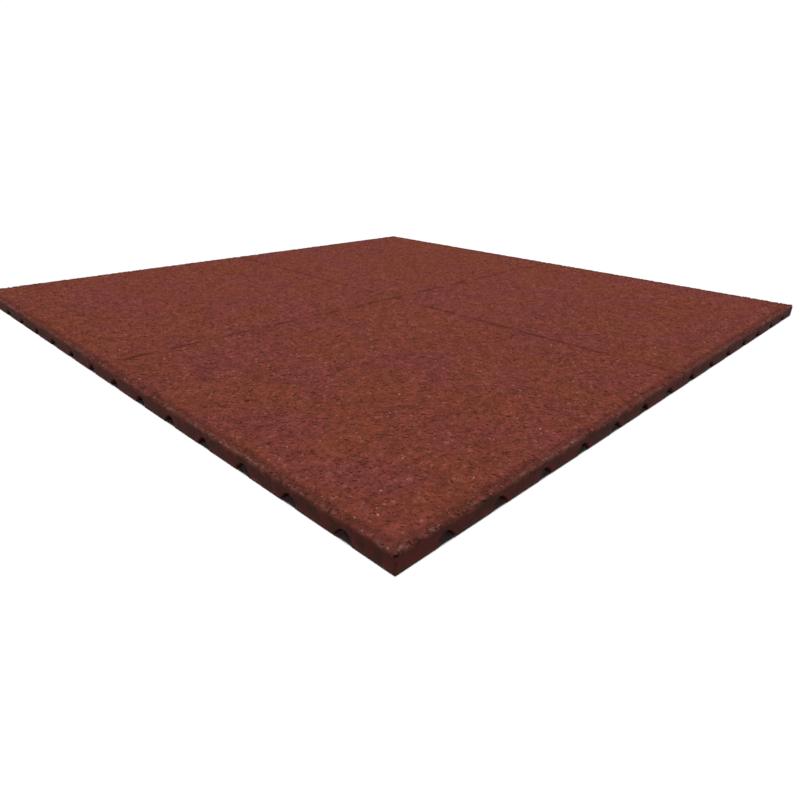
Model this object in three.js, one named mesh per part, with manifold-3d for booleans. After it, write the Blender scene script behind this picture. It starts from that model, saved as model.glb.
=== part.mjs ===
// A square rubber paver, moulded in one piece from red bonded rubber granulate.
// Its wearing face is scored into four square fields, and its underside is crossed both ways
// by half-round drainage channels that come out as arched mouths in all four side faces.
// Millimetres, +Z up. The origin is at the middle of the underside, on the ground.

import * as THREE from 'three';
import { mergeVertices } from 'three/addons/utils/BufferGeometryUtils.js';
import Module from 'manifold-3d';

// Slab
const tileSide = 1000; // along X and along Y
const tileThickness = 20; // from the ground to the wearing face
const arrisRadius = 2; // rounded upper edge, all the way round
const arrisCurveSegments = 1; // the quarter round has twice as many flats

// Score lines in the wearing face, V-shaped, running out through the rounded edges
const fieldsPerSide = 2;
const scoreWidth = 4;
const scoreDepth = 2;

// Drainage channels in the underside, the same in both directions
const channelRadius = 10.5; // half-round, its centre line on the ground
const channelCurveSegments = 3; // the half circle has twice as many flats
const channelPitch = 68.5;
const leastChannelMargin = 50; // from a side face to the nearest channel's centre line

// How far the cutting shapes stand past the faces that they cut through
const cutterOverrun = 5;

// Granulate bound with polyurethane and coloured through
const redGranulate = new THREE.MeshStandardMaterial({
  color: 0x753f35,
  roughness: 0.95,
  metalness: 0,
});

const wasm = await Module();
wasm.setup();

function toSolid(geometry) {
  const bare = geometry.clone();
  bare.deleteAttribute('normal');
  bare.deleteAttribute('uv');
  const welded = mergeVertices(bare);
  return new wasm.Manifold(new wasm.Mesh({
    numProp: 3,
    vertProperties: new Float32Array(welded.attributes.position.array),
    triVerts: new Uint32Array(welded.index.array),
  }));
}

function toGeometry(solid) {
  const mesh = solid.getMesh();
  const geometry = new THREE.BufferGeometry();
  geometry.setAttribute('position', new THREE.BufferAttribute(mesh.vertProperties, mesh.numProp));
  geometry.setIndex(new THREE.BufferAttribute(mesh.triVerts, 1));
  geometry.computeVertexNormals();
  return geometry;
}

// A straight bar along Y, centred on the origin. Its section is drawn with x across and y up.
function barAlongY(section, length, curveSegments) {
  const bar = new THREE.ExtrudeGeometry(section, {
    depth: length,
    bevelEnabled: false,
    curveSegments,
  });
  bar.rotateX(Math.PI / 2);
  bar.translate(0, length / 2, 0);
  return bar;
}

function turnedAlongX(barGeometry) {
  return barGeometry.clone().rotateZ(Math.PI / 2);
}

// The slab seen from one side: a flat foot, upright sides and rounded upper edges.
function slabSection() {
  const half = tileSide / 2;
  const roundX = half - arrisRadius;
  const roundZ = tileThickness - arrisRadius;
  const section = new THREE.Shape();
  section.moveTo(-half, 0);
  section.lineTo(half, 0);
  section.lineTo(half, roundZ);
  section.absarc(roundX, roundZ, arrisRadius, 0, Math.PI / 2, false);
  section.lineTo(-roundX, tileThickness);
  section.absarc(-roundX, roundZ, arrisRadius, Math.PI / 2, Math.PI, false);
  section.closePath();
  return section;
}

function scoreSection() {
  const above = tileThickness + cutterOverrun;
  return new THREE.Shape([
    new THREE.Vector2(0, tileThickness - scoreDepth),
    new THREE.Vector2(scoreWidth / 2, tileThickness),
    new THREE.Vector2(scoreWidth / 2, above),
    new THREE.Vector2(-scoreWidth / 2, above),
    new THREE.Vector2(-scoreWidth / 2, tileThickness),
  ]);
}

function channelSection() {
  const section = new THREE.Shape();
  section.moveTo(-channelRadius, -cutterOverrun);
  section.lineTo(channelRadius, -cutterOverrun);
  section.lineTo(channelRadius, 0);
  section.absarc(0, 0, channelRadius, 0, Math.PI, false);
  section.closePath();
  return section;
}

// Evenly spaced places across the tile, symmetrical about its middle.
function centredPlaces(count, pitch) {
  return Array.from({ length: count }, (_, i) => (i - (count - 1) / 2) * pitch);
}

// The same cut at each place, running along Y, and again running along X.
function cutBothWays(body, section, places, curveSegments) {
  const cutter = barAlongY(section, tileSide + 2 * cutterOverrun, curveSegments);
  let cut = body;
  for (const place of places) {
    const placed = cutter.clone().translate(place, 0, 0);
    cut = cut.subtract(toSolid(placed)).subtract(toSolid(turnedAlongX(placed)));
  }
  return cut;
}

function rubberTile() {
  const slabBar = barAlongY(slabSection(), tileSide, arrisCurveSegments);
  const slab = toSolid(slabBar).intersect(toSolid(turnedAlongX(slabBar)));

  const scorePlaces = centredPlaces(fieldsPerSide - 1, tileSide / fieldsPerSide);
  const scored = cutBothWays(slab, scoreSection(), scorePlaces);

  const channelSpan = tileSide - 2 * leastChannelMargin;
  const channelCount = Math.floor(channelSpan / channelPitch) + 1;
  const channelPlaces = centredPlaces(channelCount, channelPitch);
  const drained = cutBothWays(scored, channelSection(), channelPlaces, channelCurveSegments);

  const tile = new THREE.Mesh(toGeometry(drained), redGranulate);
  tile.name = 'rubber_tile';
  return tile;
}

const paver = new THREE.Group();
paver.add(rubberTile());

export default paver;
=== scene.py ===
# %% [markdown]
# # A rubber paver, dressed over its CAD frame
# The real thing is one moulding. Red rubber granulate is mixed with a clear binder, poured into a
# steel mould and pressed. The open face stays rough, with pits between the granules, and the faces
# that touch the mould come out flatter and darker. Here their dark colour is partly that skin and
# partly painted shade of the side faces and underside. The lesson keeps the CAD model as a fixed
# frame, and replaces its one plain solid by a slab with real relief and by the crumbs that sit in it.

# %% Open the imported model
import math

import bpy
import numpy as np
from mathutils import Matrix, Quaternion, Vector


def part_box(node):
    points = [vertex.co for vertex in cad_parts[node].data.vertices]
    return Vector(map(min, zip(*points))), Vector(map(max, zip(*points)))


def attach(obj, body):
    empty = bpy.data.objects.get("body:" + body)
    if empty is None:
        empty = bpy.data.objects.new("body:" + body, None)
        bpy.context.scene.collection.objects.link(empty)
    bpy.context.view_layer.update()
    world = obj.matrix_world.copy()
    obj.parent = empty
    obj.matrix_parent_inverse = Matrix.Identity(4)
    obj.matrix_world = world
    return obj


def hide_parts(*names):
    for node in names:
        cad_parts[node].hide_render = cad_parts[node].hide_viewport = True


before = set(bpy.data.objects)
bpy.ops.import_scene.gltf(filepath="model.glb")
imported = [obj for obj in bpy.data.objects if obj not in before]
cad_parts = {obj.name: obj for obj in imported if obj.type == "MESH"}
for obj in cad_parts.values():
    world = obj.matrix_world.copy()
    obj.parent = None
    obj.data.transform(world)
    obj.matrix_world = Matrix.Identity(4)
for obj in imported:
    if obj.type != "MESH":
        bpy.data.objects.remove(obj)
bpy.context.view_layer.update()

# %% [markdown]
# ## Sizes
# The side and the thickness come from the frame, so the dressed paver can't drift from the CAD model.
# The channels and score lines repeat the same few millimetre values that cut the CAD solid. All work
# below is in metres, and a length is written as a number of millimetres times MM.

# %% Sizes of the paver
MM = 0.001
tile_low, tile_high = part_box("rubber_tile")
HALF = (tile_high.x - tile_low.x) / 2
THICK = tile_high.z - tile_low.z

SCORE_WIDTH = 4 * MM
SCORE_DEPTH = 2 * MM

CHANNEL_COUNT = 14
CHANNEL_PITCH = 68.5 * MM
CHANNEL_RADIUS = 10.5 * MM

CRUMB = 4.4 * MM  # a usual granule of the open face, from side to side
SEED = 41  # the random draws all start from this number
print(f"tile {2 * HALF:.3f} m square and {THICK * 1000:.1f} mm thick")

# %% [markdown]
# ## Camera
# The picture is taken from just in front of one corner, low down, with a wide lens, so the near corner
# is large and the far edges run together. A camera is easiest to understand as three facts: where it
# stands, the point it looks at, and its lens. The last touch is a small roll, because it was held by
# hand. Its place was worked out from the paver's own corners and drain mouths.

# %% Place the camera
CAMERA_AT = Vector((-0.7395, -0.7311, 0.2791))
LOOKS_AT = Vector((-0.2796, -0.2890, 0.0))
LENS = 27.18  # mm
SENSOR_WIDTH = 36  # mm
ROLL = math.radians(1.323)

camera_data = bpy.data.cameras.new("photo_camera")
camera_data.lens = LENS
camera_data.sensor_width = SENSOR_WIDTH
camera_data.clip_start = 10 * MM
camera = bpy.data.objects.new("photo_camera", camera_data)
bpy.context.scene.collection.objects.link(camera)
bpy.context.scene.camera = camera
camera.location = CAMERA_AT
camera.rotation_mode = "QUATERNION"
straight = (LOOKS_AT - CAMERA_AT).to_track_quat("-Z", "Y")
camera.rotation_quaternion = straight @ Quaternion((0, 0, 1), ROLL)
print(f"camera {(LOOKS_AT - CAMERA_AT).length:.3f} m from the point it looks at")

# %% [markdown]
# ## Random relief that is the same every time
# Granulate is random, but a script has to give the same paver each run. Value noise does both: seeded
# random heights sit on a square lattice, and a point between them takes a smooth mixture. The lattice
# spacing is the size of the lumps, so it is given in millimetres. Each pattern has its own seed, so
# that no two of them fall together.

# %% Noise helper
LATTICE = 512


def lumps(x, y, spacing, seed):
    """Smooth random heights from 0 to 1, whose lumps are as wide as the spacing."""
    table = np.random.default_rng(SEED + seed).random((LATTICE, LATTICE))
    column, across = np.divmod(x / spacing, 1)
    row, along = np.divmod(y / spacing, 1)
    column, row = column.astype(int), row.astype(int)
    across = across * across * (3 - 2 * across)
    along = along * along * (3 - 2 * along)

    def corner(i, j):
        return table[(column + i) % LATTICE, (row + j) % LATTICE]

    near = corner(0, 0) * (1 - across) + corner(1, 0) * across
    far = corner(0, 1) * (1 - across) + corner(1, 1) * across
    return near * (1 - along) + far * along


def ramp(value, start, end):
    """0 before start and 1 past end, with a smooth change between."""
    share = np.clip((value - start) / (end - start), 0, 1)
    return share * share * (3 - 2 * share)


print("noise from", LATTICE, "by", LATTICE, "random numbers for each pattern")

# %% [markdown]
# ## The lines that the mesh is built on
# The paver is a slab whose top and underside are both height fields: every point of a flat grid has one
# height. So a grid of lines, the same in both directions, is all the drawing that each face needs. The
# lines are close together only where the shape turns: at the rounded edge, at the score lines and
# across each channel. Both grids together have to stay under 200,000 triangles.

# %% Grid lines of the wearing face
TOP_SPACING = 4.3 * MM
ARRIS_LINES = np.array([0, 0.4, 1.3, 2.6, 4.6, 7.4, 11]) * MM  # in from the side face


def mirrored(places):
    """The same places on both sides of zero, in order, with no place twice."""
    return np.unique(np.round(np.concatenate([-places, places]), 7))


# Across a score line: the middle of the V, half way up, its edge, and the first line beside it
score_lines = np.array([0, 0.5, 1, 1.75]) * SCORE_WIDTH / 2
inner_end = HALF - ARRIS_LINES[-1]
plain_count = round((inner_end - score_lines[-1]) / TOP_SPACING)
plain_lines = np.linspace(score_lines[-1], inner_end, plain_count + 1)
top_lines = mirrored(np.concatenate([score_lines, plain_lines, HALF - ARRIS_LINES]))
print(f"{len(top_lines)} lines across the wearing face")

# %% Grid lines of the underside
UNDERCUT = 0.8 * MM  # the outer feet's edge is worn back, and up, by this much
FOOT_LINES = np.array([3, 9, 22]) * MM  # in from the side face
# Half a channel's section, from its crown down: angles round the roof, and then points of the foot's
# worn edge, as distance from the channel's centre line and height.
ROOF_ANGLES = np.radians([90, 70, 50, 25])
WORN_FOOT = np.array([(10.7, 1.0), (12.0, 0.0)]) * MM
roof_offsets = np.append(CHANNEL_RADIUS * np.cos(ROOF_ANGLES), WORN_FOOT[:, 0])
roof_heights = np.append(CHANNEL_RADIUS * np.sin(ROOF_ANGLES), WORN_FOOT[:, 1])

channel_places = (np.arange(CHANNEL_COUNT) - (CHANNEL_COUNT - 1) / 2) * CHANNEL_PITCH
roof_lines = (channel_places[:, None] + mirrored(roof_offsets)[None]).ravel()
foot_middles = (channel_places[:-1] + channel_places[1:]) / 2
outer_feet = mirrored(HALF - np.append(UNDERCUT, FOOT_LINES))
under_lines = np.unique(np.round(np.concatenate([roof_lines, foot_middles, outer_feet]), 7))

to_channel = np.abs(under_lines[:, None] - channel_places[None]).min(1)
under_heights = np.interp(to_channel, roof_offsets, roof_heights)
print(f"{len(under_lines)} lines across the underside, roof {under_heights.max() * 1000:.1f} mm high")

# %% [markdown]
# ## Points of the wearing face, seen from above
# Granules lie in no rows, so the grid's plain points are shaken sideways. Points along a score line
# sway together instead, because a line pressed into granules never runs quite straight.

# %% Places of the wearing face's points
SHAKE = 0.3  # of the grid's spacing
SCORE_STRAY = 2.4 * MM  # how far a score line's middle wanders, from side to side
STRAY_LENGTH = 15 * MM

grid_x, grid_y = np.meshgrid(top_lines, top_lines, indexing="ij")
shift = np.random.default_rng(SEED).uniform(-1, 1, (2, *grid_x.shape))
clear_of_lines = (np.abs(grid_x) > SCORE_WIDTH) & (np.abs(grid_x) < inner_end)
clear_of_lines &= (np.abs(grid_y) > SCORE_WIDTH) & (np.abs(grid_y) < inner_end)
shaken = shift * clear_of_lines * TOP_SPACING * SHAKE


def stray(along, seed):
    """How far a score line lies off straight at places along it."""
    return SCORE_STRAY * (lumps(along, along * 0, STRAY_LENGTH, seed) - 0.5)


def sway(across, along, seed):
    """How far to move grid points sideways, so that those near a score line follow it."""
    return stray(along, seed) * (1 - ramp(np.abs(across), SCORE_WIDTH, 2.5 * SCORE_WIDTH))


top_x = grid_x + shaken[0] + sway(grid_x, grid_y, 16)
top_y = grid_y + shaken[1] + sway(grid_y, grid_x, 17)
print(f"points moved sideways by up to {np.abs(top_x - grid_x).max() * 1000:.2f} mm")

# %% [markdown]
# ## Worn edge
# The edge is rounded, and unevenly, because granules have broken out of it. The drop follows the curve
# of a ball, which also fits the corners, and these are worn rounder than the rest. Where a granule is
# lost, the edge is chipped.

# %% Worn edge
WORN_RADIUS = 2.4 * MM
SLOW_WEAR = 45 * MM
CLUMP = 9 * MM  # as wide as two granules that hang together
CORNER_REACH = 14 * MM
CHIP = 1.6 * MM  # how deep a lost granule leaves the edge
CHIP_SPACING = 11 * MM
CHIP_FULL = 1 * MM  # a chip is deepest up to here, measured in from the side face
CHIP_END = 7 * MM

from_side_x = HALF - np.abs(grid_x)
from_side_y = HALF - np.abs(grid_y)
slow_wear = lumps(top_x, top_y, SLOW_WEAR, 1)
clump_wear = lumps(top_x, top_y, CLUMP, 2)
radius = WORN_RADIUS * (0.6 + 0.5 * slow_wear + 0.9 * clump_wear)
to_corner = np.maximum(from_side_x, from_side_y)
radius = radius * (1 + 0.8 * (1 - ramp(to_corner, 0, CORNER_REACH)))
left = radius**2 - np.maximum(radius - from_side_x, 0) ** 2 - np.maximum(radius - from_side_y, 0) ** 2
arris_drop = radius - np.sqrt(np.maximum(left, 0))
from_side = np.minimum(from_side_x, from_side_y)
chipped = ramp(lumps(top_x, top_y, CHIP_SPACING, 12), 0.45, 0.8)
arris_drop = arris_drop + CHIP * chipped * (1 - ramp(from_side, CHIP_FULL, CHIP_END))
print(f"edge radius from {radius.min() * 1000:.1f} to {radius.max() * 1000:.1f} mm")

# %% [markdown]
# ## Score lines
# They are shallow V cuts, which coarse granules break up, and they are shallower near the side faces.
# The cut is worked out on the straight grid, because the points have already swayed with the line.

# %% Score cuts
SCORE_FADE = 30 * MM


def score_share(along):
    """How much of its full strength a score line has: all, down to about a third at the sides."""
    return 0.35 + 0.65 * ramp(HALF - np.abs(along), 0, SCORE_FADE)


def score_cut(across, along, seed):
    """How deep the V is at a point, for the line whose middle is at across = 0."""
    depth = SCORE_DEPTH * (0.2 + 0.9 * lumps(along, across, CLUMP, seed)) * score_share(along)
    return depth * np.maximum(0, 1 - np.abs(across) / (SCORE_WIDTH / 2))


cut = np.maximum(score_cut(grid_x, grid_y, 3), score_cut(grid_y, grid_x, 4))
print(f"score lines up to {cut.max() * 1000:.2f} mm deep")

# %% [markdown]
# ## Grime and painted shade
# Grime goes with the shape: it fills the score lines and lies beside them in dashes, and it has been
# trodden into the rim. The darkening in and beside the score lines is partly that grime and partly
# painted shade of the V cut, and the darkening towards one corner is painted shade. It is one number
# for each point, and the material turns it into a darker tone.

# %% Grime and painted shade
DASH_SPACING = 12 * MM
RIM_GRIME = 0.45
RIM_FULL = 6 * MM  # the rim is grimiest up to here, measured in from the side face
RIM_END = 14 * MM
RIM_STRAY = 4 * MM
# Painted shade, darker towards the corner where x and y are least.
CORNER_SHADE = 0.2
CORNER_FULL = -1.8 * HALF  # by the sum of x and y, which is least at the darker corner
CORNER_END = 0.6 * HALF


def score_dirt_and_shade(across, along, seed, stray_seed):
    """How dark a score line is at a point, in and beside its cut, from 0 to 1: partly grime and partly
    painted shade of the V.
    """
    across = across - stray(along, stray_seed)
    dashes = 0.15 + 0.6 * ramp(lumps(along, across * 0, DASH_SPACING, seed), 0.25, 0.7)
    beside = 1 - ramp(np.abs(across), 0.4 * SCORE_WIDTH, 1.6 * SCORE_WIDTH)
    return dashes * score_share(along) * beside


def grime_and_shade(x, y):
    """How dark the face is at a point, from 0 to 1: grime and painted shade in the score lines, grime
    on the rim, and painted shade towards one corner.
    """
    lines_dirt_and_shade = np.maximum(score_dirt_and_shade(x, y, 14, 16), score_dirt_and_shade(y, x, 15, 17))
    from_rim = HALF - np.maximum(np.abs(x), np.abs(y)) + RIM_STRAY * (lumps(x, y, CLUMP, 18) - 0.5)
    on_rim = RIM_GRIME * (1 - ramp(from_rim, RIM_FULL, RIM_END))
    corner_shade = CORNER_SHADE * (1 - ramp(x + y, CORNER_FULL, CORNER_END))
    return np.maximum(lines_dirt_and_shade, on_rim + corner_shade)


print(f"grime up to {grime_and_shade(top_x, top_y).max():.2f}")

# %% [markdown]
# ## Wearing face
# The slab is the bed that the crumbs sit in, so its face lies up to a millimetre and a half under the
# flat CAD face, and undulates from granule to granule. All relief goes down from the CAD face, never
# up, so the paver keeps its thickness.

# %% Heights of the wearing face
BED_DEPTH = 0.7 * MM  # the least distance from the CAD face down to the slab
GRAIN_RELIEF = 0.8 * MM
GRAIN_SPACING = 4.2 * MM

grain = 0.7 * lumps(top_x, top_y, GRAIN_SPACING, 5) + 0.3 * lumps(top_x, top_y, CLUMP, 6)
top_z = THICK - np.maximum(arris_drop, BED_DEPTH) - cut - GRAIN_RELIEF * grain
print(f"wearing face from {top_z.min() * 1000:.2f} to {top_z.max() * 1000:.2f} mm")

# %% [markdown]
# ## Underside
# The drainage channels run both ways, so at a crossing the higher of the two roofs wins. Between them
# stand square feet. A foot's edges are worn round, which makes each mouth a little wider at the ground
# than the channel itself.

# %% Heights of the underside
FOOT_RELIEF = 0.25 * MM
FOOT_GRAIN = 5 * MM
SMOOTH_RIM = 6 * MM  # the relief dies out over this distance towards the side faces

under_x, under_y = np.meshgrid(under_lines, under_lines, indexing="ij")
under_z = np.maximum(under_heights[:, None], under_heights[None])
foot_relief = FOOT_RELIEF * lumps(under_x, under_y, FOOT_GRAIN, 7)
under_from_side = HALF - np.maximum(np.abs(under_x), np.abs(under_y))
under_z = under_z + foot_relief * ramp(under_from_side, 0, SMOOTH_RIM)
print(f"feet stand on {np.mean(under_z < 0.3 * MM):.2f} of the underside's grid points")

# %% [markdown]
# ## Side faces
# Rings of points go round the slab and join the two grids. The upper rings follow the wearing face's
# lines and the lower rings those of the underside, so between them one band of triangles is laced from
# one spacing to the other. Each ring is drawn in a little, unevenly, because a pressed face still shows
# its granules.

# %% Ring helpers
SIDE_RELIEF = 0.3 * MM
SIDE_GRAIN = 4 * MM
SIDE_WAVE = 15 * MM
ALONG = np.array([(1, 0), (0, 1), (-1, 0), (0, -1)])
OUTWARD = np.array([(0, -1), (1, 0), (0, 1), (-1, 0)])


def rim(grid):
    """A square grid's outer ring, counterclockwise from above, starting at its least corner."""
    return np.concatenate([grid[:-1, 0], grid[-1, :-1], grid[:0:-1, -1], grid[0, :0:-1]])


def ring_places(lines):
    """Where a rim's points lie along the four sides, as 0 to 4."""
    share = (lines - lines[0]) / (lines[-1] - lines[0])
    return np.concatenate([side + share[:-1] for side in range(4)])


def ring_points(places, heights):
    """Points on the side faces, drawn in by up to the side relief."""
    side = places.astype(int)
    u = (2 * (places - side) - 1) * HALF
    flat = ALONG[side] * u[:, None] + OUTWARD[side] * HALF
    path = places * 2 * HALF
    dents = 0.6 * lumps(path, heights, SIDE_GRAIN, 8) + 0.4 * lumps(path, heights, SIDE_WAVE, 9)
    inset = SIDE_RELIEF * dents
    return np.column_stack([flat * (1 - inset / HALF)[:, None], heights])


print(f"side faces drawn in by up to {SIDE_RELIEF * 1000:.1f} mm")

# %% Rings round the side faces
UPPER_RINGS = 4
LOWER_RINGS = 3
LACING_TOP = 12.6 * MM  # heights between which the two spacings are laced together
LACING_FOOT = 11.7 * MM
points = [np.column_stack([top_x.ravel(), top_y.ravel(), top_z.ravel()])]
points.append(np.column_stack([under_x.ravel(), under_y.ravel(), under_z.ravel()]))
top_ids = np.arange(top_x.size).reshape(top_x.shape)
under_ids = top_ids.size + np.arange(under_x.size).reshape(under_x.shape)


def add_ring(places, heights):
    """Adds one ring to the points, and gives the numbers of its points."""
    first = sum(len(group) for group in points)
    points.append(ring_points(places, heights))
    return first + np.arange(len(places))


top_places = ring_places(top_lines)
upper_start = rim(top_z)
upper_rings = [rim(top_ids)]
for step in range(1, UPPER_RINGS + 1):
    heights = upper_start + (LACING_TOP - upper_start) * step / UPPER_RINGS
    upper_rings.append(add_ring(top_places, heights))

under_places = ring_places(under_lines)
lower_start = rim(under_z) + UNDERCUT
lower_rings = [rim(under_ids)]
for step in range(LOWER_RINGS):
    heights = lower_start + (LACING_FOOT - lower_start) * step / (LOWER_RINGS - 1)
    lower_rings.append(add_ring(under_places, heights))
print(UPPER_RINGS + LOWER_RINGS, "rings round the side faces")

# %% [markdown]
# ## Faces of the slab
# Two grids and the bands between rings give four-sided faces. The laced band walks round both of its
# rings at once, and always steps on along the one whose next point comes first.

# %% Faces of the whole slab
def grid_faces(ids):
    """Four-sided faces of a grid, facing up."""
    corners = [ids[:-1, :-1], ids[1:, :-1], ids[1:, 1:], ids[:-1, 1:]]
    return np.stack(corners, -1).reshape(-1, 4)


def ring_faces(upper, lower):
    """Four-sided faces between two rings with equal numbers of points, facing out."""
    return np.stack([upper, lower, np.roll(lower, -1), np.roll(upper, -1)], -1)


def laced(upper, lower, upper_at, lower_at):
    """Triangles between two rings whose points lie at different places, facing out."""
    upper, lower = np.append(upper, upper[0]), np.append(lower, lower[0])
    upper_at, lower_at = np.append(upper_at, 4), np.append(lower_at, 4)
    faces = []
    i = j = 0
    while i < len(upper) - 1 or j < len(lower) - 1:
        upper_next = upper_at[i + 1] if i < len(upper) - 1 else math.inf
        lower_next = lower_at[j + 1] if j < len(lower) - 1 else math.inf
        if upper_next <= lower_next:
            faces.append((upper[i], lower[j], upper[i + 1]))
            i += 1
        else:
            faces.append((upper[i], lower[j], lower[j + 1]))
            j += 1
    return faces


quads = [grid_faces(top_ids), grid_faces(under_ids)[:, ::-1]]
quads += [ring_faces(upper, lower) for upper, lower in zip(upper_rings, upper_rings[1:])]
quads += [ring_faces(upper, lower) for lower, upper in zip(lower_rings, lower_rings[1:])]
laced_band = laced(upper_rings[-1], lower_rings[-1], top_places, under_places)
tile_points = np.concatenate(points)
tile_faces = np.concatenate(quads).tolist()
tile_faces += [tuple(map(int, face)) for face in laced_band]
print(len(tile_points), "points and", len(tile_faces), "faces")

# %% [markdown]
# ## Making a piece
# Every piece goes the same way: its points and faces become a mesh, its material is put on, and it is
# given to the frame's body, so that it belongs to the paver. A check counts the edges that don't have
# exactly two faces, because a closed shape has none.

# %% Piece helper
def make_piece(name, mesh_points, mesh_faces, material, smooth, **values):
    """A piece on the frame's body. Each extra value is one number for each point, for its material."""
    mesh = bpy.data.meshes.new(name)
    mesh.from_pydata(mesh_points.tolist(), [], mesh_faces)
    mesh.validate()
    mesh.polygons.foreach_set("use_smooth", np.full(len(mesh.polygons), smooth))
    for value_name, numbers in values.items():
        layer = mesh.attributes.new(value_name, "FLOAT", "POINT")
        layer.data.foreach_set("value", np.asarray(numbers, np.float32))
    mesh.materials.append(material)
    mesh.update()
    piece = bpy.data.objects.new(name, mesh)
    bpy.context.scene.collection.objects.link(piece)
    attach(piece, "root")
    return piece


def report(piece):
    """Prints what a mesh is made of, and whether it is closed."""
    mesh = piece.data
    triangles = sum(len(face.vertices) - 2 for face in mesh.polygons)
    uses = np.zeros(len(mesh.edges), int)
    edge_ids = np.zeros(len(mesh.loops), int)
    mesh.loops.foreach_get("edge_index", edge_ids)
    np.add.at(uses, edge_ids, 1)
    print(f"{piece.name}: {triangles} triangles, {int((uses != 2).sum())} edges that aren't closed")


# %% [markdown]
# ## Colour and nodes
# Colours are written as sRGB hex, as a colour picker gives them, and turned to linear light in one
# place. One helper adds any node: its fields are set by name, and each input takes a number, a colour
# or another node's output.

# %% Colour and node helpers
def linear(hex_code):
    """An sRGB hex colour as linear red, green, blue and alpha."""
    parts = [int(hex_code[i : i + 2], 16) / 255 for i in (1, 3, 5)]
    light = [c / 12.92 if c <= 0.04045 else ((c + 0.055) / 1.055) ** 2.4 for c in parts]
    return (*light, 1.0)


def add_node(tree, kind, inputs, **fields):
    """One node with its settings and links. Inputs are named or numbered."""
    node = tree.nodes.new(kind)
    for field, value in fields.items():
        if field == "stops":
            for stop in value[2:]:
                node.color_ramp.elements.new(stop[0])
            for element, stop in zip(node.color_ramp.elements, value):
                element.position, element.color = stop
        else:
            setattr(node, field, value)
    for socket, value in inputs.items():
        if isinstance(value, bpy.types.NodeSocket):
            tree.links.new(value, node.inputs[socket])
        else:
            node.inputs[socket].default_value = value
    return node


print(f"mid grey #808080 is {linear('#808080')[0]:.3f} in linear light")

# %% [markdown]
# ## Bonded rubber granulate
# Common name: polyurethane-bonded recycled rubber granulate, coloured red, pressed in a mould. To the
# eye that is a matt crumb of many near shades. Each granule has taken the pigment a little differently,
# the gaps between them and the pits are darkened with painted shade, a few cut faces show pale, and
# over a hand's width the colour drifts between brown and pink. Where the mould pressed it, a skin of
# binder and dust makes it smoother and greyer, and darker, partly by that skin and partly by painted
# shade of the side faces and underside.
#
# Its patterns come first. Cells from a Voronoi texture are the granules, as wide as real ones, and
# noise bends their outlines. On the slab each cell draws its own shade. A loose crumb is one granule,
# so there the shade is one number for the whole crumb.

# %% Shade and pits
PIT = 5.2 * MM  # pits follow one another at about this distance


def shade_and_pits(tree, bent, loose):
    """Each granule's own shade, and where it is pitted (on a loose crumb, how dark a crumb it is), both
    from 0 to 1. The pits' dark colour is painted shade.
    """
    if loose:
        shade = add_node(tree, "ShaderNodeAttribute", {}, attribute_name="shade").outputs["Fac"]
        # On a loose crumb this share is a dark crumb's own colour, not a pit.
        pit_shade_and_dark_crumbs = add_node(
            tree,
            "ShaderNodeMapRange",
            {"Value": shade, "From Min": 0.15, "From Max": 0.0, "To Max": 0.5},
        )
    else:
        cells = add_node(tree, "ShaderNodeTexVoronoi", {"Vector": bent, "Scale": 1 / CRUMB})
        cell_draw = add_node(tree, "ShaderNodeSeparateColor", {"Color": cells.outputs["Color"]})
        shade = cell_draw.outputs["Red"]
        pits = add_node(
            tree, "ShaderNodeTexNoise", {"Vector": bent, "Scale": 1 / PIT, "Detail": 0.0}
        )
        # The pits' dark colour is painted shade in the hollows.
        pit_shade_and_dark_crumbs = add_node(
            tree,
            "ShaderNodeMapRange",
            {"Value": pits.outputs["Fac"], "From Min": 0.5, "From Max": 0.3, "To Max": 0.4},
            interpolation_type="SMOOTHSTEP",
        )
    return shade, pit_shade_and_dark_crumbs.outputs["Result"]


print(f"granules {CRUMB * 1000:.1f} mm wide, pits {PIT * 1000:.1f} mm apart")

# %% Patterns of the granulate
FINE_GRIT = 0.9 * MM  # finer on real granules, and drawn as coarse as it needs to show
WANDER = 2.4 * MM  # how far a granule's outline strays from a plain cell
MOTTLE = 12 * MM
PATCH = 85 * MM


def patterns(tree, loose):
    """Everything that varies over the granulate, by name."""
    place = add_node(tree, "ShaderNodeTexCoord", {}).outputs["Object"]
    found = {}
    for name in ("skin", "dust", "dirt"):
        found[name] = add_node(tree, "ShaderNodeAttribute", {}, attribute_name=name).outputs["Fac"]
    noises = {
        "grit": {"Scale": 1 / FINE_GRIT, "Detail": 2.0},
        "mottle": {"Scale": 1 / MOTTLE, "Detail": 1.0, "Roughness": 0.8},
        "patch": {"Scale": 1 / PATCH, "Detail": 2.0},
    }
    for name, settings in noises.items():
        noise = add_node(tree, "ShaderNodeTexNoise", {"Vector": place, **settings})
        found[name] = noise.outputs["Fac"]
    bend = add_node(
        tree, "ShaderNodeTexNoise", {"Vector": place, "Scale": 1 / CRUMB, "Detail": 1.0}
    )
    bent = add_node(
        tree,
        "ShaderNodeVectorMath",
        {0: bend.outputs["Color"], 1: (WANDER, WANDER, WANDER), 2: place},
        operation="MULTIPLY_ADD",
    ).outputs["Vector"]
    found["bent"] = bent
    found["gap"] = add_node(
        tree,
        "ShaderNodeTexVoronoi",
        {"Vector": bent, "Scale": 1 / CRUMB},
        feature="DISTANCE_TO_EDGE",
    ).outputs["Distance"]
    found["shade"], found["pit_shade_and_dark_crumbs"] = shade_and_pits(tree, bent, loose)
    found["own_tone"] = add_node(
        tree,
        "ShaderNodeMapRange",
        {"Value": found["shade"], "From Max": 0.7, "To Min": 0.88, "To Max": 1.05},
    ).outputs["Result"]
    return found


print(f"mottle {MOTTLE * 1000:.0f} mm and patches {PATCH * 1000:.0f} mm apart")

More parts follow.
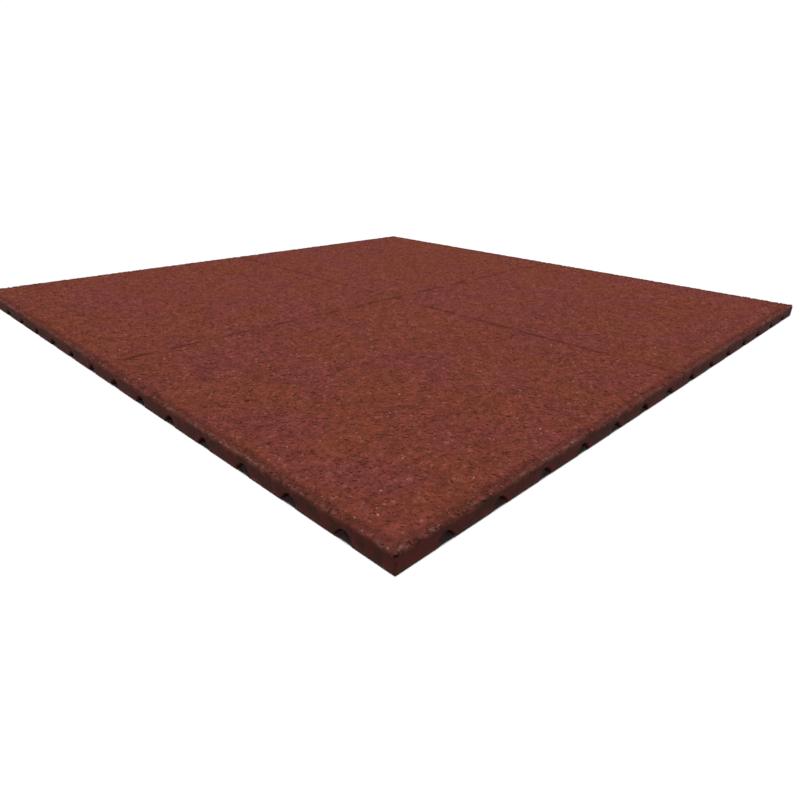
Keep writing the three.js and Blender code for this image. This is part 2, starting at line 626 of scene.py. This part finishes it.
# %% [markdown]
# ## Colour of the open face
# The colour is built up as the eye meets it: a slow drift, the granules that show a paler cut, each
# granule's own tone, painted shade in the gaps between granules, grime on the rim and in the score
# lines, painted shade in the score lines and towards one corner, and then painted shade in the pits,
# pale flecks and dust on top. Several weak steps look more like real rubber than one strong pattern
# does.

# %% Colour of each granule
PALE_FROM = 0.84  # granules of this shade and above show a paler cut


def own_colour(tree, found, loose):
    """The red of each granule, before gaps, pits and dust."""
    drift = add_node(
        tree,
        "ShaderNodeValToRGB",
        {"Fac": found["patch"]},
        stops=[(0.38, linear("#7a3b29")), (0.62, linear("#793932"))],
    )
    pale_share = add_node(
        tree,
        "ShaderNodeMapRange",
        {
            "Value": found["shade"],
            "From Min": PALE_FROM,
            "From Max": 1.0,
            "To Max": 0.45 if loose else 0.1,
        },
    )
    return add_node(
        tree,
        "ShaderNodeMix",
        {0: pale_share.outputs["Result"], 6: drift.outputs["Color"], 7: linear("#94645a")},
        data_type="RGBA",
    ).outputs[2]


print(f"{1 - PALE_FROM:.2f} of the granules show a paler cut")

# %% Tones
DARKEST_DIRT_AND_SHADE = 0.4  # what full dirt and painted shade leave of the tone


def whole_tone(tree, found):
    """How light or dark the granulate is at a point, where 1 leaves its colour as it is."""
    slow_tone = add_node(
        tree,
        "ShaderNodeMapRange",
        {"Value": found["mottle"], "From Min": 0.3, "From Max": 0.7, "To Min": 0.8, "To Max": 1.2},
    )
    # Darker near each granule's outline: painted shade in the gaps between granules.
    gap_painted_shade = add_node(
        tree,
        "ShaderNodeMapRange",
        {"Value": found["gap"], "From Max": 0.42, "To Min": 0.95, "To Max": 1.03},
        interpolation_type="SMOOTHSTEP",
    )
    dirt_and_shade_tone = add_node(
        tree, "ShaderNodeMapRange", {"Value": found["dirt"], "To Min": 1.0, "To Max": DARKEST_DIRT_AND_SHADE}
    )
    tone = found["own_tone"]
    for part in (slow_tone, gap_painted_shade, dirt_and_shade_tone):
        joined = add_node(
            tree, "ShaderNodeMath", {0: tone, 1: part.outputs["Result"]}, operation="MULTIPLY"
        )
        tone = joined.outputs["Value"]
    return tone


print("full dirt leaves", DARKEST_DIRT_AND_SHADE, "of the tone")

# %% Pale flecks
FLECK_SPACING = 5 * MM
FLECK_SHARE = 0.09  # of the places that could hold a pale fleck


def fleck(tree, found):
    """Where a pale fleck lies, from 0 to 1."""
    flecks = add_node(
        tree, "ShaderNodeTexVoronoi", {"Vector": found["bent"], "Scale": 1 / FLECK_SPACING}
    )
    fleck_draw = add_node(tree, "ShaderNodeSeparateColor", {"Color": flecks.outputs["Color"]})
    fleck_size = add_node(
        tree,
        "ShaderNodeMapRange",
        {"Value": fleck_draw.outputs["Red"], "From Min": FLECK_SHARE, "From Max": 0.0, "To Max": 0.3},
    )
    return add_node(
        tree,
        "ShaderNodeMapRange",
        {
            "Value": flecks.outputs["Distance"],
            "From Min": fleck_size.outputs["Result"],
            "From Max": 0.0,
            "To Max": 1.2,
        },
    ).outputs["Result"]


print(f"pale flecks in {FLECK_SHARE} of their places, {FLECK_SPACING * 1000:.0f} mm apart")


# %% Colour of the open face
# The first layer's dark red is painted shade in the pits, and on loose crumbs a dark crumb's own
# colour.
LAYERS = {"pit_shade_and_dark_crumbs": "#4c170d", "fleck": "#c08d80", "dust": "#80605a"}


def face_colour(tree, found, loose):
    """The open face's whole colour: the toned granules, and then each layer over the last."""
    toned = add_node(
        tree,
        "ShaderNodeVectorMath",
        {0: own_colour(tree, found, loose), 3: whole_tone(tree, found)},
        operation="SCALE",
    )
    colour = toned.outputs["Vector"]
    shares = {**found, "fleck": fleck(tree, found)}
    for layer, hex_code in LAYERS.items():
        mixed = add_node(
            tree,
            "ShaderNodeMix",
            {0: shares[layer], 6: colour, 7: linear(hex_code)},
            data_type="RGBA",
        )
        colour = mixed.outputs[2]
    return colour


print("layers over the granules:", ", ".join(LAYERS))

# %% [markdown]
# ## The whole material
# The pressed skin replaces the open face's colour by its own dark colour, which is partly painted
# shade of the side faces and underside, and makes the relief weaker. The relief is a dome on each
# granule, some grit, and a hollow at each pit. Rubber's index of refraction is about 1.5, and its
# roughness near 0.9. Its shine is kept low, because the light that a crumb reflects is mostly lost in
# the pits beside it.

# %% Relief
RELIEF_DEPTH = 0.6 * MM


def relief(tree, found, loose):
    """The bump that the light catches."""
    dome = add_node(
        tree,
        "ShaderNodeMapRange",
        {"Value": found["gap"], "From Max": 0.4, "To Max": 0.2 if loose else 1.0},
        interpolation_type="SMOOTHSTEP",
    )
    height = add_node(
        tree,
        "ShaderNodeMath",
        {0: dome.outputs["Result"], 1: found["own_tone"]},
        operation="MULTIPLY",
    ).outputs["Value"]
    for part, share in ((found["grit"], 0.2), (found["pit_shade_and_dark_crumbs"], -1.0)):
        added = add_node(
            tree, "ShaderNodeMath", {0: part, 1: share, 2: height}, operation="MULTIPLY_ADD"
        )
        height = added.outputs["Value"]
    strength = add_node(
        tree, "ShaderNodeMapRange", {"Value": found["skin"], "To Min": 0.8, "To Max": 0.2}
    )
    bump = add_node(
        tree,
        "ShaderNodeBump",
        {"Height": height, "Strength": strength.outputs["Result"], "Distance": RELIEF_DEPTH},
    )
    return bump.outputs["Normal"]


print(f"relief {RELIEF_DEPTH * 1000:.1f} mm deep")

# %% Granulate material
RUBBER_IOR = 1.52


def granulate(name, loose):
    """The granulate's material, for the slab or for loose crumbs."""
    material = bpy.data.materials.new(name)
    material.use_nodes = True
    tree = material.node_tree
    tree.nodes.clear()
    found = patterns(tree, loose)
    # The skin's dark colours are partly the moulded skin and partly painted shade of the side faces,
    # underside and worn edge.
    skin_and_side_shade_colour = add_node(
        tree,
        "ShaderNodeValToRGB",
        {"Fac": found["mottle"]},
        stops=[(0.36, linear("#37190f")), (0.64, linear("#4b1914"))],
    )
    colour = add_node(
        tree,
        "ShaderNodeMix",
        {0: found["skin"], 6: face_colour(tree, found, loose), 7: skin_and_side_shade_colour.outputs["Color"]},
        data_type="RGBA",
    )
    roughness = add_node(
        tree,
        "ShaderNodeMapRange",
        {"Value": found["grit"], "From Min": 0.3, "From Max": 0.7, "To Min": 0.86, "To Max": 0.98},
    )
    shader = add_node(
        tree,
        "ShaderNodeBsdfPrincipled",
        {
            "Base Color": colour.outputs[2],
            "Roughness": roughness.outputs["Result"],
            "Normal": relief(tree, found, loose),
            "IOR": RUBBER_IOR,
            "Specular IOR Level": 0.22 if loose else 0.15,
        },
    )
    add_node(tree, "ShaderNodeOutputMaterial", {"Surface": shader.outputs["BSDF"]})
    return material


bonded_granulate = granulate("bonded_rubber_granulate", loose=False)
crumb_granulate = granulate("rubber_crumb", loose=True)
print("materials:", bonded_granulate.name, crumb_granulate.name)

# %% [markdown]
# ## The slab
# Its skin value says how far a point was pressed against the mould, and so also how much painted shade
# darkens it: none on the wearing face, all of it on the sides and the underside, and a broken change
# between the two round the worn edge. Its dust value lightens the edge, where pale dust clings to the
# broken granules.

# %% Skin and dust
SKIN_AND_SHADE_STARTS = 18.9 * MM  # heights above the ground
SKIN_AND_SHADE_FULL = 13.8 * MM
SKIN_AND_SHADE_STRAY = 6 * MM
SKIN_AND_SHADE_LUMPS = 7 * MM
BARE_FROM = 2.6 * MM  # in from the side face, from where the wearing face has no skin and no painted side shade
DUST_LUMPS = 7 * MM
DUST_MOST = 0.7
DUST_IN = 3 * MM
DUST_DOWN = 2.5 * MM


def skin_and_side_shade_at(height):
    """How far a point at a height was pressed against the mould, and so darkened by its skin and by
    painted shade, from 0 to 1.
    """
    return ramp(-height, -SKIN_AND_SHADE_STARTS, -SKIN_AND_SHADE_FULL)


def edge_dust(inward, fall, along):
    """How dusty the edge is, from 0 to 1, by the distances in and down from the sharp corner."""
    patchy = ramp(lumps(along, along * 0, DUST_LUMPS, 13), 0.3, 0.9)
    return DUST_MOST * patchy * np.exp(-((inward / DUST_IN) ** 2)) * np.exp(-((fall / DUST_DOWN) ** 2))


tile_x, tile_y, tile_z = tile_points.T
uneven = SKIN_AND_SHADE_STRAY * (lumps(tile_x + tile_y, tile_z, SKIN_AND_SHADE_LUMPS, 10) - 0.5)
tile_skin_and_shade = skin_and_side_shade_at(tile_z + uneven)
tile_from_side = HALF - np.maximum(np.abs(tile_x), np.abs(tile_y))
on_top = (np.arange(len(tile_points)) < top_ids.size) & (tile_from_side > BARE_FROM)
tile_skin_and_shade[on_top] = 0
tile_dust = edge_dust(tile_from_side, THICK - tile_z, tile_x + 2 * tile_y)
print(f"skin on {np.mean(tile_skin_and_shade > 0.5):.2f} of the slab's points")

# %% Slab piece
tile = make_piece(
    "granulate_tile",
    tile_points,
    tile_faces,
    bonded_granulate,
    True,
    skin=tile_skin_and_shade,
    dust=tile_dust,
    dirt=grime_and_shade(tile_x, tile_y),
)
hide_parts("rubber_tile")
report(tile)

# %% [markdown]
# ## Crumbs
# A granule is a small cut lump with flat faces and no rule to its shape. An octahedron with its six
# corners pushed about is a good stand-in, and eight triangles each is cheap enough for tens of
# thousands. They are made all at once as arrays and joined in one mesh. Most sit half in the slab or
# deeper. Whatever would stand past the mould is pressed flat on its face, as it is in the real press.

# %% Crumb helper
LUMP_POINTS = np.array([(1, 0, 0), (0, 1, 0), (-1, 0, 0), (0, -1, 0), (0, 0, 1), (0, 0, -1)])
LUMP_FACES = [(i, (i + 1) % 4, 4) for i in range(4)] + [((i + 1) % 4, i, 5) for i in range(4)]
CORNER_PUSH = (0.8, 1.3)  # a corner's least and most distance, where 1 is the plain shape's
STRETCH = (0.7, 1.3)  # the same for the whole lump, along each of its axes
PRESSED = 0.6  # the press leaves a crumb this high for its width


def crumbs(name, middles, sizes, shades, skins_and_shade, dusts, seed):
    """Joined crumbs round the given middles, as wide as the given sizes."""
    draw = np.random.default_rng(SEED + seed)
    count = len(middles)
    turn = draw.normal(size=(count, 4))
    w, x, y, z = (turn / np.linalg.norm(turn, axis=1, keepdims=True)).T
    turns = np.empty((count, 3, 3))
    turns[:, 0] = np.stack([1 - 2 * (y * y + z * z), 2 * (x * y - w * z), 2 * (x * z + w * y)], -1)
    turns[:, 1] = np.stack([2 * (x * y + w * z), 1 - 2 * (x * x + z * z), 2 * (y * z - w * x)], -1)
    turns[:, 2] = np.stack([2 * (x * z - w * y), 2 * (y * z + w * x), 1 - 2 * (x * x + y * y)], -1)
    shape = LUMP_POINTS[None] * draw.uniform(*CORNER_PUSH, (count, len(LUMP_POINTS), 1))
    shape = shape * draw.uniform(*STRETCH, (count, 1, 3)) * sizes[:, None, None] / 2
    corners = np.einsum("nij,nkj->nki", turns, shape) * [1, 1, PRESSED] + middles[:, None]
    corners = np.clip(corners, [-HALF, -HALF, 0], [HALF, HALF, THICK])
    faces = np.array(LUMP_FACES)[None] + len(LUMP_POINTS) * np.arange(count)[:, None, None]
    piece = make_piece(
        name,
        corners.reshape(-1, 3),
        faces.reshape(-1, 3).tolist(),
        crumb_granulate,
        False,
        shade=np.repeat(shades, len(LUMP_POINTS)),
        skin=np.repeat(skins_and_shade, len(LUMP_POINTS)),
        dust=np.repeat(dusts, len(LUMP_POINTS)),
        dirt=np.repeat(grime_and_shade(middles[:, 0], middles[:, 1]), len(LUMP_POINTS)),
    )
    report(piece)


# %% [markdown]
# ## Crumbs on the wearing face
# The granulate is a mixture of grades, and the press lays its crumbs flat and close together. Three
# grades cover the face here, each on a jittered grid of its own, which spreads them more evenly than
# plain random places do. They keep clear of the score lines, so that the cut stays open.

# %% Face crumbs
FACE_STEP = 6.3 * MM
FACE_MARGIN = 6 * MM  # left to the crumbs of the edge
# Each grade's least and most width, in mm
FACE_CRUMBS = {"coarse_crumbs": (5.0, 7.6), "middle_crumbs": (4.2, 6.2), "fine_crumbs": (3.2, 4.8)}
FACE_SUNK = (0.22, 0.36)  # how deep the middles lie, as a share of the width
LINE_CLEARANCE = 1.6 * MM
steps = int((HALF - FACE_MARGIN) / FACE_STEP)
cell_x, cell_y = np.meshgrid(np.arange(-steps, steps), np.arange(-steps, steps), indexing="ij")
cells_xy = np.stack([cell_x.ravel(), cell_y.ravel()], -1)

for number, (crumb_name, widths) in enumerate(FACE_CRUMBS.items()):
    draw = np.random.default_rng(SEED + 20 + number)
    face_xy = (cells_xy + draw.random(cells_xy.shape)) * FACE_STEP
    face_sizes = draw.uniform(*widths, len(face_xy)) * MM
    clear = np.abs(face_xy).min(1) > LINE_CLEARANCE + 0.35 * face_sizes
    face_xy, face_sizes = face_xy[clear], face_sizes[clear]
    face_z = THICK - face_sizes * draw.uniform(*FACE_SUNK, len(face_xy))
    bare = np.zeros(len(face_xy))  # these have no skin, no painted side shade and no dust
    crumbs(
        crumb_name,
        np.column_stack([face_xy, face_z]),
        face_sizes,
        draw.random(len(face_xy)),
        bare,
        bare,
        40 + number,
    )

# %% [markdown]
# ## Crumbs on the edge and the sides
# The edge is where a paver looks made of granules: there they stand out one by one, and some are gone.
# On the side faces the mould has pressed them flush. The crumbs are spread by how far they lie round
# the section, from a little way in on the wearing face, over the edge and down the side. Those that
# would hang in a drain mouth, stand on the ground or fill the end of a score line are left out.

# %% Places of the edge crumbs
EDGE_COUNT = 15000
EDGE_WIDTHS = (2.4, 5.4)  # in mm
EDGE_SUNK = (0.25, 0.48)
FACE_BAND = 7 * MM
CROWDING = 1.35  # above 1, more crumbs lie near the wearing face than low on the side
SCORE_END = 3 * MM  # half the width that is kept clear where a score line runs out
SCORE_END_FOOT = 17 * MM
EDGE_ARC = WORN_RADIUS * math.pi / 2
draw = np.random.default_rng(SEED + 30)
girth = FACE_BAND + EDGE_ARC + THICK - WORN_RADIUS
down = draw.random(EDGE_COUNT) ** CROWDING * girth
places = draw.random(EDGE_COUNT) * 4
edge_sizes = draw.uniform(*EDGE_WIDTHS, EDGE_COUNT) * MM

angle = np.clip((down - FACE_BAND) / WORN_RADIUS, 0, math.pi / 2)
inward = np.maximum(FACE_BAND - down, 0) + WORN_RADIUS * (1 - np.sin(angle))
fall = WORN_RADIUS * (1 - np.cos(angle)) + np.maximum(down - FACE_BAND - EDGE_ARC, 0)
sunk = edge_sizes * draw.uniform(*EDGE_SUNK, EDGE_COUNT)
inward = inward + sunk * np.sin(angle)
fall = fall + sunk * np.cos(angle)

side = places.astype(int)
along = (2 * (places - side) - 1) * HALF
along = np.clip(along, inward - HALF, HALF - inward)
edge_xy = ALONG[side] * along[:, None] + OUTWARD[side] * (HALF - inward)[:, None]
edge_z = THICK - fall
to_mouth = np.hypot((along[:, None] - channel_places[None]), edge_z[:, None]).min(1)
kept = to_mouth > CHANNEL_RADIUS + edge_sizes * 0.55
kept &= edge_z > edge_sizes * 0.6
kept &= (edge_z <= SCORE_END_FOOT) | (np.abs(along) > SCORE_END)
print(int(kept.sum()), "crumbs on the edge and the sides")

# %% Edge crumbs piece
SKIN_AND_SHADE_SPREAD = 5 * MM
edge_skins_and_shade = skin_and_side_shade_at(edge_z - SKIN_AND_SHADE_SPREAD * (draw.random(EDGE_COUNT) - 0.5))
edge_shades = draw.random(EDGE_COUNT)
# A high power makes most crumbs a little dusty and a few of them very dusty.
edge_dusts = edge_dust(inward, fall, places * 2 * HALF) * (0.3 + 4 * draw.random(EDGE_COUNT) ** 5)
crumbs(
    "edge_crumbs",
    np.column_stack([edge_xy, edge_z])[kept],
    edge_sizes[kept],
    edge_shades[kept],
    edge_skins_and_shade[kept],
    edge_dusts[kept],
    31,
)

# %% [markdown]
# ## Floor
# The paver lies on plain white ground. It is drawn as a floor painted matt white, which gives the eye
# no gloss and hardly a shadow. One flat square is enough, because it ends far outside the view and what
# lies behind it is white too.

# %% Floor
floor_material = bpy.data.materials.new("matt_white_paint")
floor_material.use_nodes = True
floor_tree = floor_material.node_tree
floor_tree.nodes.clear()
floor_shader = add_node(floor_tree, "ShaderNodeBsdfDiffuse", {"Color": linear("#efefef")})
add_node(floor_tree, "ShaderNodeOutputMaterial", {"Surface": floor_shader.outputs["BSDF"]})

FLOOR_HALF = 40.0
floor_mesh = bpy.data.meshes.new("studio_floor")
floor_corners = [(-FLOOR_HALF, -FLOOR_HALF), (FLOOR_HALF, -FLOOR_HALF)]
floor_corners += [(FLOOR_HALF, FLOOR_HALF), (-FLOOR_HALF, FLOOR_HALF)]
floor_mesh.from_pydata([(x, y, 0) for x, y in floor_corners], [], [(0, 1, 2, 3)])
floor_mesh.materials.append(floor_material)
floor = bpy.data.objects.new("studio_floor", floor_mesh)
bpy.context.scene.collection.objects.link(floor)
print("floor", 2 * FLOOR_HALF, "m wide")

# %% [markdown]
# ## Light
# The picture has an even, plain light from above, with hardly a shadow, in front of a white ground. In
# a studio that is a soft lamp straight overhead and a low white wall all round. Nothing else is bright,
# which keeps the side faces and the drain mouths dark while the wearing face is fully lit. The wall's
# light is drawn by height alone. The camera sees its white at every height, so the ground is white from
# any side.

# %% Sky
WALL_LIGHT = 1.02
WALL_TOP = math.sin(math.radians(10.5))
DARK_FROM = math.sin(math.radians(12))

world = bpy.data.worlds.new("pale_studio")
bpy.context.scene.world = world
world.use_nodes = True
sky_tree = world.node_tree
sky_tree.nodes.clear()
direction = add_node(sky_tree, "ShaderNodeTexCoord", {}).outputs["Generated"]
upward = add_node(sky_tree, "ShaderNodeSeparateXYZ", {"Vector": direction}).outputs["Z"]
glow = add_node(
    sky_tree,
    "ShaderNodeMapRange",
    {
        "Value": upward,
        "From Min": WALL_TOP,
        "From Max": DARK_FROM,
        "To Min": WALL_LIGHT,
        "To Max": 0.0,
    },
)
seen = add_node(sky_tree, "ShaderNodeLightPath", {}).outputs["Is Camera Ray"]
strength = add_node(sky_tree, "ShaderNodeMix", {0: seen, 2: glow.outputs["Result"], 3: WALL_LIGHT})
sky = add_node(
    sky_tree,
    "ShaderNodeBackground",
    {"Color": linear("#ffffff"), "Strength": strength.outputs[0]},
)
add_node(sky_tree, "ShaderNodeOutputWorld", {"Surface": sky.outputs["Background"]})
print("world:", world.name)

# %% Lamp
LAMP_FROM = Vector((-0.04, -0.02, 1.0))
LAMP_STRENGTH = 3.7
LAMP_SPREAD = math.radians(10)  # how wide it looks from the paver, which softens its shadows

lamp_data = bpy.data.lights.new("overhead_lamp", "SUN")
lamp_data.energy = LAMP_STRENGTH
lamp_data.angle = LAMP_SPREAD
lamp = bpy.data.objects.new("overhead_lamp", lamp_data)
bpy.context.scene.collection.objects.link(lamp)
lamp.rotation_mode = "QUATERNION"
lamp.rotation_quaternion = (-LAMP_FROM).to_track_quat("-Z", "Y")
bpy.context.scene.view_settings.view_transform = "Standard"
print(f"lamp {math.degrees(math.asin(LAMP_FROM.normalized().z)):.0f} degrees above the floor")
